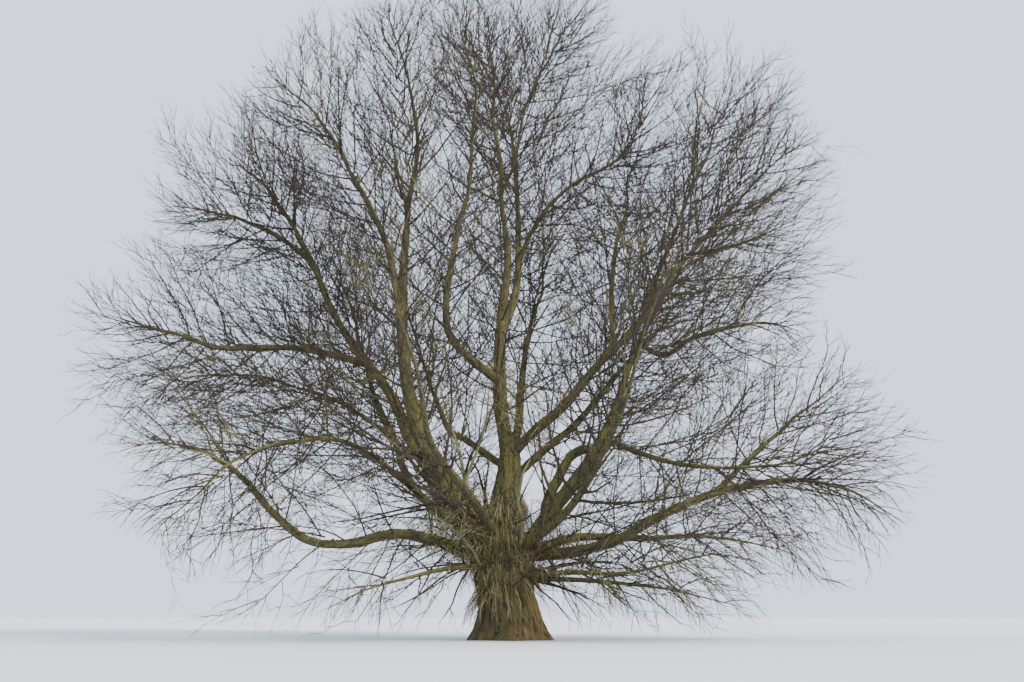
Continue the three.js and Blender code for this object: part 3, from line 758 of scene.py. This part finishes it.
def side_branches(parents, rule, least):
    """The side branches of every twig, turned on round it from one to the next. Where the rule says so,
    their ends swing round to follow it, and low down they hang."""
    count = rule["least"] + np.floor(rule["per_metre"] * parents.long + 0.5).astype(int)
    owner = np.repeat(np.arange(len(count)), count)
    k = np.arange(len(owner)) - np.repeat(np.cumsum(count) - count, count)
    bearer = parents.pick(owner)
    draws = [chance(bearer.seed, 10 * k + n) for n in range(5)]
    share = rule["first"] + (rule["last"] - rule["first"]) * (k + SCATTER["place"] * draws[1]) / count[owner]
    way = unit(bearer.start + (bearer.end - bearer.start) * share[:, None])
    turn = TURN_BETWEEN * k + SCATTER["turn"] * draws[0] + TURN_BY_SEED * bearer.seed
    turn = np.radians(turn)[:, None]
    across = unit(np.cross(way, UP))
    over = np.cross(across, way)
    stand = np.radians(rule["stand"] + SCATTER["stand"] * (draws[2] - 0.5))[:, None]
    start = way * np.cos(stand) + np.sin(stand) * (across * np.cos(turn) + over * np.sin(turn))
    root = bearer.at(share[:, None])[:, 0]
    low = np.clip(1 - root[:, 2] / HANG_BELOW, 0, 1)
    lift = bearer.lift + SCATTER["lift"] * (draws[3] - 0.5) - rule.get("hang", 0) * low
    follow = way * rule.get("follow", 0)
    shorter = (1 - rule["shrink"] * share) * (1 + SCATTER["long"] * (draws[4] - 0.5))
    long = bearer.reach * rule["reach"] * shorter
    return bearer.but(
        root=root,
        start=start,
        end=unit(start + UP * lift[:, None] + follow),
        long=long,
        reach=long,
        base=np.maximum(least, bearer.base * (1 - share) * TWIG_TO_PARENT),
        seed=(NEXT_SEED[0] * bearer.seed + NEXT_SEED[1] * k + NEXT_SEED[2]) % SEEDS,
    )


stems = []
for name, plan in BOUGHS.items():
    heading, rise, long, wide, lift = plan["twigs"]
    last = limbs[name].points[-1]
    start = unit(last - limbs[name].points[-2])
    root = last - start * SUNK_IN_TIP
    stems.append((root, start, direction(heading, rise), long, wide, plan["tip"], lift))
for share, base, headings, rises, long, wide, lift in TRUNK_TWIGS.values():
    start, end = direction(headings, rises)
    stems.append((trunk.at(np.array([share]))[0], start, end, long, wide, base, lift))
roots, starts, ends, longs, wides, bases, lifts = (np.array(each) for each in zip(*stems))
mass_names = [*BOUGHS, *TRUNK_TWIGS]
fulls = np.array([THINNER.get(name, 1.0) for name in mass_names])
order = np.arange(len(stems))
stems = Twigs(
    root=roots, start=starts, end=ends, long=longs, reach=wides, base=bases,
    seed=order + 1, mass=order, lift=lifts, wide=wides, full=fulls,
)
stem_lines = stems.at(np.linspace(0, 1, STEM_TESTS + 1))
limb_starts = np.vstack([limb.points[:-1] for limb in limbs.values()])
limb_ends = np.vstack([limb.points[1:] for limb in limbs.values()])
limb_radii = np.concatenate(
    [limb.radius(np.linspace(0, 1, len(limb.points))[:-1]) for limb in limbs.values()]
)
lowest, highest = np.array(solid_box)


def in_lots(spots, measure):
    """Measures many spots a lot at a time, so that the arrays stay small."""
    starts = range(0, len(spots), SPOTS_AT_ONCE)
    return np.concatenate([measure(spots[start : start + SPOTS_AT_ONCE]) for start in starts])


def off_limbs(spots):
    return (distances(spots, limb_starts, limb_ends)[0] - limb_radii).min(axis=1)


def off_stems(spots):
    away = distances(spots, stem_lines[:, :-1].reshape(-1, 3), stem_lines[:, 1:].reshape(-1, 3))[0]
    return away.reshape(len(spots), len(order), -1).min(axis=2)


def in_box(spots):
    """Whether each spot is inside the box of the solids, or just past it."""
    return ((spots > lowest - PAST_BOX) & (spots < highest + PAST_BOX)).all(axis=1)


def keeps_to_its_space(twigs):
    """Whether each twig keeps to the space of its mass, off the ground and clear of every limb."""
    spots = twigs.at(np.arange(1, TWIG_TESTS + 1) / TWIG_TESTS)
    flat = spots.reshape(-1, 3)
    away = in_lots(flat, off_stems)
    mass = np.repeat(twigs.mass, TWIG_TESTS)
    own = away[np.arange(len(flat)), mass]
    away[np.arange(len(flat)), mass] = np.inf
    good = (own < np.repeat(twigs.wide, TWIG_TESTS)) & (flat[:, 2] > KEEP_OFF_GROUND)
    good &= (away.min(axis=1) > own + KEEP_CLEAR) & in_box(flat)
    good &= in_lots(flat, off_limbs) > KEEP_CLEAR
    return good.reshape(-1, TWIG_TESTS).all(axis=1)


def grow(parents, rule, least=TWIG_LEAST, keeps=keeps_to_its_space):
    """The side branches that keep to their space, at their full length or made shorter, and none stout for
    its length."""
    waiting = side_branches(parents, rule, least)
    grown = []
    for share in SHORTER:
        long = waiting.long * share
        slender = np.clip(long * SLENDER, TWIG_LEAST, waiting.base)
        tried = waiting.but(long=long, reach=waiting.reach * share, base=slender)
        good = keeps(tried)
        grown.append(tried.pick(good))
        waiting = waiting.pick(~good)
    return together(grown)


branches = grow(stems, RULE[0])
branchlets = grow(branches, RULE[1])

# The crown is filled out by more branches on every stem, and by long arching ones all along the boughs,
# which leave the bark at a wide angle. They keep within the reach of the masses, and only so many end in
# the same cube of the crown. Most live in its outer metres, and few deep inside it, where it is dark.
PAST_TIP = 0.2
CROWN_ROOM = 3.6
REACH_TESTS = np.array([0.4, 0.7, 1.0])
REACH_CLEAR = 0.02
CROWN_MIDDLE = (-1.2, 1.2, 8.5)
CROWN_HALF = (15.6, 12.2, 20.0)
CROWN_BELOW = 9.5
DARK, LIGHT = 0.3, 0.75
LEAST_INSIDE = 0.45
AT_HEIGHTS, SHARE_THERE = (0, 10, 27), (0.48, 1.0, 1.5)
FILL_RULE = dict(
    least=3, per_metre=3.2, first=0.05, last=0.98, reach=1.35, shrink=0.45, stand=48, follow=0.8, hang=0.9
)
SECOND_RULE = dict(
    least=2, per_metre=2.6, first=0.12, last=0.97, reach=0.58, shrink=0.4, stand=38, follow=0.9, hang=0.9
)
FILL_LEAST = 0.034
SECOND_LEAST = 0.018
FILL_CUBE, FILL_MOST = 1.7, 1.3
SECOND_CUBE, SECOND_MOST = 1.0, 1.1
SIDE_FROM = 0.14
SIDE_STRETCH = 2.4
SIDE_REACH = 6.0
SIDE_GIRTH = 0.45
SIDE_LIFT = 0.3
SIDE_WIDE = 50
SIDE_RULE = dict(
    least=3, per_metre=3.0, first=0.05, last=0.95, reach=1.0, shrink=0.15, stand=60, follow=0.3, hang=1.1
)
# Where the seeds of each kind of branch start, and how far apart those of two boughs are
SIDE_SEEDS, SIDE_SEEDS_APART = 400, 40
FILL_SEEDS, SECOND_SEEDS = 3000, 2000
CUBES_APART = 1009
ORDER_DRAW, ROOM_DRAW = 61, 62


def limb_stretches(limb, mass, seed):
    """A limb past its foot, as a row of straight stretches that bear side branches as twigs do."""
    count = max(1, round(limb.long * (1 - SIDE_FROM) / SIDE_STRETCH))
    shares = np.linspace(SIDE_FROM, 1, count + 1)
    ends = limb.at(shares)
    run = np.diff(ends, axis=0)
    way = unit(run)
    one = np.ones(count)
    return Twigs(
        root=ends[:-1], start=way, end=way, long=np.linalg.norm(run, axis=1), reach=one * SIDE_REACH,
        base=limb.radius(shares[:-1]) * SIDE_GIRTH, seed=seed + np.arange(count),
        mass=one.astype(int) * mass, lift=one * SIDE_LIFT, wide=one * SIDE_WIDE, full=one,
    )


def from_middle(spots):
    """How far each spot is from the middle of the crown, where 1 is on the round of its outside."""
    off = spots - np.array(CROWN_MIDDLE)
    half = np.where(off[:, 2:] > 0, CROWN_HALF, (CROWN_HALF[0], CROWN_HALF[1], CROWN_BELOW))
    return np.linalg.norm(off / half, axis=1)


def within_reach(twigs):
    """Whether each twig is off the ground, clear of every limb and inside the reach of its mass."""
    spots = twigs.at(REACH_TESTS)
    flat = spots.reshape(-1, 3)
    off_bark = in_lots(flat, off_limbs)
    good = (off_bark > REACH_CLEAR) & (flat[:, 2] > KEEP_OFF_GROUND) & in_box(flat)
    good &= (off_bark < CROWN_ROOM) | (in_lots(flat, off_stems).min(axis=1) < CROWN_ROOM)
    past = ((spots - stem_lines[twigs.mass][:, -1:]) * stems.end[twigs.mass][:, None]).sum(-1)
    return good.reshape(-1, len(REACH_TESTS)).all(axis=1) & (past < PAST_TIP).all(axis=1)


def light(spots):
    """The share of twigs that live at each spot: few in the dark middle of the crown and low down, and most
    at its top."""
    inside = np.interp(from_middle(spots), [DARK, LIGHT], [LEAST_INSIDE, 1])
    return inside * np.interp(spots[:, 2], AT_HEIGHTS, SHARE_THERE)


def thin(twigs, cube, most):
    """Keeps only so many of the twigs whose tips are in the same cube, by lot, and fewer in the dark."""
    tips = twigs.at(np.array([1.0]))[:, 0]
    place = np.floor(tips / cube).astype(int)
    place = (place[:, 0] * CUBES_APART + place[:, 1]) * CUBES_APART + place[:, 2]
    drawn = np.lexsort((chance(twigs.seed, ORDER_DRAW), place))
    turn = np.arange(len(drawn)) - np.searchsorted(place[drawn], place[drawn])
    room = (most * light(tips) * twigs.full)[drawn]
    return twigs.pick(np.sort(drawn[turn + chance(twigs.seed, ROOM_DRAW)[drawn] < room]))


stretches = together([
    limb_stretches(limb, mass, SIDE_SEEDS + SIDE_SEEDS_APART * mass)
    for mass, limb in enumerate(list(limbs.values())[1:])
])
side_twigs = thin(grow(stretches, SIDE_RULE, FILL_LEAST, within_reach), FILL_CUBE, FILL_MOST)
more_branches = grow(stems.but(seed=stems.seed + FILL_SEEDS), FILL_RULE, FILL_LEAST, within_reach)
more_branches = thin(more_branches, FILL_CUBE, FILL_MOST)
second_bearers = together([stems, branches, more_branches, side_twigs])
second_bearers = second_bearers.but(seed=second_bearers.seed + SECOND_SEEDS)
more_branchlets = grow(second_bearers, SECOND_RULE, SECOND_LEAST, within_reach)
more_branchlets = thin(more_branchlets, SECOND_CUBE, SECOND_MOST)

# The finest twigs clothe everything that carries them: shoots of a year or two on every branch, with the
# twigs of the last summer on those.
SHOOT_RULE = dict(
    least=1, per_metre=2.2, first=0.08, last=0.98, reach=0.58, shrink=0.3, stand=33, follow=0.8, hang=0.5
)
SHOOT_LEAST = 0.0135
SHOOT_CUBE, SHOOT_MOST = 0.7, 1.6
SUMMER_RULE = dict(
    least=1, per_metre=3.2, first=0.12, last=0.97, reach=0.62, shrink=0.3, stand=30, follow=0.7, hang=0.4
)
SUMMER_LEAST = 0.0098
SUMMER_CUBE, SUMMER_MOST = 0.6, 2.3
BEARER_REACH = 2.4
bearers = together([stems, branches, branchlets, more_branches, side_twigs, more_branchlets])
bearers = bearers.but(reach=np.minimum(bearers.reach, BEARER_REACH))
shoots = thin(grow(bearers, SHOOT_RULE, SHOOT_LEAST, within_reach), SHOOT_CUBE, SHOOT_MOST)
summer_twigs = grow(shoots, SUMMER_RULE, SUMMER_LEAST, within_reach)
summer_twigs = thin(summer_twigs, SUMMER_CUBE, SUMMER_MOST)

# Twigs are smooth and thin-barked. Their colour changes from spray to spray: heather and brown at the
# outside of the crown, olive with algae inside it, and grey-green with lichen low down. The last two tones
# are those of the young shoots on the bole. Each is a plain colour, a little lighter and darker in flecks.
TONES = {
    "heather_twig": (0.04, 0.03, 0.028),
    "brown_twig": (0.047, 0.034, 0.022),
    "olive_twig": (0.075, 0.068, 0.027),
    "lichened_twig": (0.18, 0.17, 0.08),
    "pale_shoot": (0.4, 0.375, 0.19),
    "rusty_shoot": (0.2, 0.13, 0.07),
}
FLECK_DARK, FLECK_LIGHT = 0.72, 1.3
SPRAY = 1.1
SPRAY_STEPS, SPRAYS = (7, 13, 29), 997
# The share of each tone at the outside of the crown, and how it changes inside it and low down
HEATHER, HEATHER_LOST_INSIDE, HEATHER_LOST_LOW = 0.5, 0.3, 0.2
BROWN, BROWN_LOST_LOW = 0.38, 0.1
OLIVE, OLIVE_MORE_INSIDE = 0.1, 0.3
INSIDE_FROM, INSIDE_FADE = (0, 0, 9), 9
LOW_BELOW = 7
TAPER = 0.7


def twig_material(name, tone):
    made, place = new_material(name)
    fleck = place.cloud(2.4, 3.0)
    dark, pale = (tuple(much * part for part in tone) + (1,) for much in (FLECK_DARK, FLECK_LIGHT))
    colour = fleck.between(0.3, 0.7).choose(dark, pale)
    return finish_material(made, colour, 0.92 - 0.2 * fleck)


twig_materials = [twig_material(name, tone) for name, tone in TONES.items()]


def tone_of(twigs):
    """The number of the tone of each twig, dealt out by spray."""
    spray = np.floor(twigs.root / SPRAY).astype(int)
    lot = chance(spray @ SPRAY_STEPS % SPRAYS, 3)
    inside = np.exp(-np.linalg.norm(twigs.root - INSIDE_FROM, axis=1) / INSIDE_FADE)
    low = np.clip(1 - twigs.root[:, 2] / LOW_BELOW, 0, 1)
    heather = HEATHER - HEATHER_LOST_INSIDE * inside - HEATHER_LOST_LOW * low
    brown = heather + BROWN - BROWN_LOST_LOW * low
    olive = brown + OLIVE + OLIVE_MORE_INSIDE * inside
    return (lot > heather).astype(int) + (lot > brown) + (lot > olive)


def taper(twigs, points):
    return twigs.base[:, None] * (1 - TAPER * np.linspace(0, 1, points))


# How each kind is drawn: its rings and its sides
KINDS = [
    (branches, 8, 5),
    (more_branches, 7, 5),
    (side_twigs, 8, 5),
    (branchlets, 6, 3),
    (more_branchlets, 4, 3),
    (shoots, 3, 3),
    (summer_twigs, 2, 3),
]
MOST_TRIANGLES = 185000


def draw(twigs, points, sides, tones):
    """Vertices, quads, triangles, and the tones of both kinds of face, of every twig."""
    vertices, quads, triangles = tubes(twigs.at(np.linspace(0, 1, points)), taper(twigs, points), sides)
    return vertices, quads, triangles, np.repeat(tones, (points - 2) * sides), np.repeat(tones, sides)


def twig_piece(name, parts):
    """Joins twigs into one piece of the part, with a material for each tone."""
    vertices, quads, triangles = join(parts)
    made = make_mesh(name, vertices, [quads, triangles])
    for material in twig_materials:
        made.data.materials.append(material)
    tones = np.concatenate([part[3] for part in parts] + [part[4] for part in parts])
    made.data.polygons.foreach_set("material_index", tones.astype(np.int32))
    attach(made, "root")
    return made


def triangles_of(mass):
    sides = [(2 * (points - 2) + 1) * sides for _, points, sides in KINDS]
    return sum(size * (kind.mass == mass).sum() for size, (kind, _, _) in zip(sides, KINDS))


lots = [[]]
filled = 0
for mass in order:
    size = triangles_of(mass)
    if filled + size > MOST_TRIANGLES:
        lots.append([])
        filled = 0
    lots[-1].append(mass)
    filled += size

for number, lot in enumerate(lots):
    of_lot = [(kind.pick(np.isin(kind.mass, lot)), points, sides) for kind, points, sides in KINDS]
    parts = [draw(twigs, points, sides, tone_of(twigs)) for twigs, points, sides in of_lot]
    piece = twig_piece(f"twigs_{number + 1}", parts)
    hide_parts(*[f"{mass_names[mass]}_twigs" for mass in lot])

# The stems inside the masses still have bark, though it is thin. They taper to a twig.
STEM_SIDES = 10
STEM_POINTS = 34
stem_lines_fine = stems.at(np.linspace(0, 1, STEM_POINTS))
stem_radii = stems.base[:, None] + (TWIG_LEAST - stems.base[:, None]) * np.linspace(0, 1, STEM_POINTS)
stem_radii[:, -1] = 0
vertices, quads, triangles = tubes(stem_lines_fine, stem_radii, STEM_SIDES)
stem_piece = make_mesh("stems", vertices, [quads, triangles])
set_grain(stem_piece, vertices)
stem_piece.data.materials.append(young_bark)
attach(stem_piece, "root")

# Fine shoots have broken out all over the burrs of the bole. They rise and hang close to it like hair, from
# its forks to the ground, and in a loose tangle round the foot of the great boughs.
HAIRS = 6500
HAIR_ROOM = 0.2
HAIR_LONG = (0.35, 2.3)
HAIR_BASE = (0.008, 0.016)
HANGING = 0.72
HAIR_LONG_THERE = [0.4, 1, 1]
HAIR_FROM, HAIR_SPAN = 0.05, 0.7
HAIR_SUNK = 0.97
# Which way they set off: out from the bark, up or down, and aside
HAIR_OUT, HAIR_UP, HAIR_ASIDE = 0.7, 0.5, 0.2
HAIR_LEAN, HAIR_LIFT = 0.4, 0.4
RISING_OUT, HANGING_OUT = 0.1, -0.04
HAIR_OFF_GROUND = 0.04
HAIR_INTO_BARK = 0.03
HAIR_TESTS = np.array([0.3, 0.65, 1.0])
HAIR_SIDE_LEAST = 0.006
HAIR_POINTS, HAIR_SIDE_POINTS, HAIR_CORNERS = 5, 2, 3
HAIR_RULE = dict(least=1, per_metre=0.8, first=0.12, last=0.97, reach=0.5, shrink=0.3, stand=30, follow=0.6)
hair = np.arange(HAIRS)
hair_turn = 360 * chance(hair, 1)
hair_share = HAIR_FROM + HAIR_SPAN * chance(hair, 2) ** 0.8
hair_out = direction(hair_turn, 0)
hair_aside = direction(hair_turn + 90, 0)
hair_off_middle = trunk_radius(hair_share, np.radians(hair_turn)) * HAIR_SUNK
hair_foot = trunk.at(hair_share) + hair_out * hair_off_middle[:, None]
hair_up = np.where(chance(hair, 3) > HANGING, 1.0, -1.0)
hair_start = unit(hair_out * HAIR_OUT + UP * (hair_up * HAIR_UP)[:, None] + hair_aside * HAIR_ASIDE)
hair_lean = hair_aside * (HAIR_LEAN * (chance(hair, 4) - 0.5))[:, None]
hair_part_out = np.where(hair_up > 0, RISING_OUT, HANGING_OUT)
hair_end = unit(hair_out * hair_part_out[:, None] + UP * hair_up[:, None] + hair_lean)
hair_more = (HAIR_LONG[1] - HAIR_LONG[0]) * chance(hair, 5) ** 1.3 * spread(HAIR_LONG_THERE, hair_share)


def shoots_from(root, start, end, long, up, seed, draw):
    """Fine shoots of these lengths, which rise where up is above nothing and hang where it is below."""
    base = HAIR_BASE[0] + (HAIR_BASE[1] - HAIR_BASE[0]) * chance(seed, draw)
    return Twigs(
        root=root, start=start, end=end, long=long, reach=long, base=base, seed=seed, mass=0 * seed,
        lift=HAIR_LIFT * up, wide=long, full=0 * seed + 1,
    )


def close_to_bark(shoots, room):
    """Whether each shoot stays near the bark that bears it, outside the wood and off the ground."""
    spots = shoots.at(HAIR_TESTS).reshape(-1, 3)
    off = in_lots(spots, off_limbs)
    good = (off > -HAIR_INTO_BARK) & (off < room) & (spots[:, 2] > HAIR_OFF_GROUND)
    return good.reshape(-1, len(HAIR_TESTS)).all(axis=1)


hairs = shoots_from(hair_foot, hair_start, hair_end, HAIR_LONG[0] + hair_more, hair_up, hair, 6)
hairs = hairs.pick(close_to_bark(hairs, HAIR_ROOM))

# Longer ones make a loose tangle round the foot of the great boughs, thickest in the forks on the left.
TUFTS = dict(
    left_low=520, left_outer=620, left_leader=620, left_back=420, right_moss=260, right_low=220,
    centre_leader=260, right_inner=200, right_bough=160,
)
TUFT_FROM, TUFT_TO = 0.9, 3.6
TUFT_ROOM = 0.75
TUFT_LONG = (0.4, 1.7)
TUFT_SUNK = 0.95
TUFT_RISING, TUFT_HANGING = 0.9, -0.8
TUFT_HANG_SHARE = 0.6
TUFT_ASIDE, TUFT_END_OUT, TUFT_END_ASIDE = 0.4, 0.3, 0.7
TUFT_SEEDS, TUFT_SEEDS_APART = 20000, 1000


def tuft(limb, count, seed):
    """Shoots on all sides of a bough near its foot. Most hang, and the rest rise."""
    lot = seed + np.arange(count)
    share = (TUFT_FROM + (TUFT_TO - TUFT_FROM) * chance(lot, 21) ** 1.3) / limb.long
    way = unit(limb.at(share + 0.01) - limb.at(share))
    out = direction(360 * chance(lot, 22), 180 * chance(lot, 23) - 90)
    out = unit(out - way * (out * way).sum(-1, keepdims=True))
    up = np.where(chance(lot, 24) > TUFT_HANG_SHARE, TUFT_RISING, TUFT_HANGING)
    side = direction(360 * chance(lot, 25), 0)
    long = TUFT_LONG[0] + (TUFT_LONG[1] - TUFT_LONG[0]) * chance(lot, 26) ** 1.5
    root = limb.at(share) + out * (limb.radius(share) * TUFT_SUNK)[:, None]
    end = unit(out * TUFT_END_OUT + UP * up[:, None] + side * TUFT_END_ASIDE)
    return shoots_from(root, unit(out + side * TUFT_ASIDE), end, long, up, lot, 27)


tufts = together([
    tuft(limbs[name], count, TUFT_SEEDS + TUFT_SEEDS_APART * number)
    for number, (name, count) in enumerate(TUFTS.items())
])
hairs = together([hairs, tufts.pick(close_to_bark(tufts, TUFT_ROOM))])
hair_sides = side_branches(hairs, HAIR_RULE, HAIR_SIDE_LEAST)
hair_sides = hair_sides.pick((hair_sides.at(np.array([0.0, 1.0]))[..., 2] > HAIR_OFF_GROUND).all(axis=1))


# Rusty ones stand for painted sunlight on the right of the bole, more so the further right they are, and are
# also dealt out in the lowest part of the bole
SUNNY, SUNNY_PER_METRE = 0.35, 0.45
SUNNY_FOOT, FOOT_BELOW = 0.5, 1.8
RUSTY_IN_SUN = 0.85
OLIVE_IN_SHADE = 0.4


def tone_of_hair(twigs):
    """Pale and olive on the side away from the sun, and rusty as painted sunlight towards it, and towards
    the foot.
    """
    olive, pale, rusty = (list(TONES).index(tone) for tone in ("olive_twig", "pale_shoot", "rusty_shoot"))
    # Painted sunlight: the share of rusty shoots grows towards the right, where the light comes from, and at
    # the foot.
    sun_and_foot = np.clip(SUNNY + SUNNY_PER_METRE * twigs.root[:, 0], 0, 1)
    sun_and_foot = sun_and_foot + SUNNY_FOOT * np.clip(1 - twigs.root[:, 2] / FOOT_BELOW, 0, 1)
    shady = np.where(chance(twigs.seed, 8) > OLIVE_IN_SHADE, pale, olive)
    return np.where(chance(twigs.seed, 7) < RUSTY_IN_SUN * sun_and_foot, rusty, shady)


twig_piece("bole_shoots", [
    draw(hairs, HAIR_POINTS, HAIR_CORNERS, tone_of_hair(hairs)),
    draw(hair_sides, HAIR_SIDE_POINTS, HAIR_CORNERS, tone_of_hair(hair_sides)),
])

# The tree stands on a plain pale floor, under a plain pale sky and one soft high light from the right.
FLOOR = 400.0
FLOOR_UNDER = 0.004
FLOOR_PALE, FLOOR_PALER = (0.72, 0.73, 0.74, 1), (0.76, 0.765, 0.77, 1)
SKY_COLOUR = (0.72, 0.80, 0.96, 1)
SKY_STRENGTH = 1.9
LIGHT_STRENGTH = 5.0
LIGHT_SOFTNESS = 14
LIGHT_COLOUR = (1.0, 0.95, 0.87)
LIGHT_FROM = (0.72, -0.6, 0.62)
floor_corners = np.array([[-1, -1, 0], [1, -1, 0], [1, 1, 0], [-1, 1, 0]]) * FLOOR - UP * FLOOR_UNDER
floor = make_mesh("floor", floor_corners, [np.array([[0, 1, 2, 3]])])
floor_material, place = new_material("floor")
pale = place.cloud(0.15).choose(FLOOR_PALE, FLOOR_PALER)
floor.data.materials.append(finish_material(floor_material, pale, 0.9 + 0.05 * place.cloud(0.3)))

world = bpy.data.worlds.new("sky")
world.use_nodes = True
world.node_tree.nodes["Background"].inputs["Color"].default_value = SKY_COLOUR
world.node_tree.nodes["Background"].inputs["Strength"].default_value = SKY_STRENGTH
bpy.context.scene.world = world

sun = bpy.data.lights.new("soft_light", "SUN")
sun.energy = LIGHT_STRENGTH
sun.angle = math.radians(LIGHT_SOFTNESS)
sun.color = LIGHT_COLOUR
lamp = bpy.data.objects.new("soft_light", sun)
lamp.rotation_euler = Vector(LIGHT_FROM).to_track_quat("Z", "Y").to_euler()
bpy.context.scene.collection.objects.link(lamp)

# The photograph was taken from a little above the ground, 42 m from the trunk, looking up at the crown.
CAMERA_AT = (0.08, -42.0, 0.9)
CAMERA_PITCH = 14.23
CAMERA_LENS = 38.0
CAMERA_SEES = 2000
camera_data = bpy.data.cameras.new("camera")
camera_data.lens = CAMERA_LENS
camera_data.clip_end = CAMERA_SEES
camera = bpy.data.objects.new("camera", camera_data)
camera.location = CAMERA_AT
camera.rotation_euler = (math.radians(90 + CAMERA_PITCH), 0, 0)
bpy.context.scene.collection.objects.link(camera)
bpy.context.scene.camera = camera
